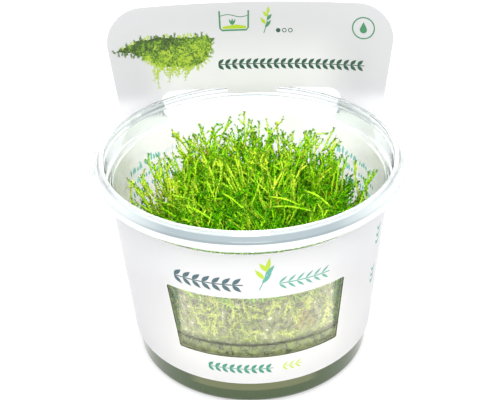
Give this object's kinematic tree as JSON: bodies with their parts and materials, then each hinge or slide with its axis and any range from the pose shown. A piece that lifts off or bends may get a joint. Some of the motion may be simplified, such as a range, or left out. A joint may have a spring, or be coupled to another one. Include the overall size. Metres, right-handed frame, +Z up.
{
  "type": "java moss culture cup",
  "caption": "Cushion of upright java moss shoots on gel in a clear round cup, with a white card sleeve that has a front window and a tall back header.",
  "frame": {"origin": "centre of the cup's round base, on the surface that the cup stands on", "axes": "+Z up along the cup's axis, -Y towards the front with the window, +X to the right seen from the front"},
  "size_m": [0.1008, 0.1008, 0.1038],
  "materials": {
    "clear_plastic": "gloss",
    "white_card": "satin",
    "agar": "satin",
    "moss_green": "matte"
  },
  "bodies": {
    "root": {"cup": "clear_plastic", "sleeve": "white_card", "culture_gel": "agar", "moss": "moss_green"}
  },
  "joints": []
}
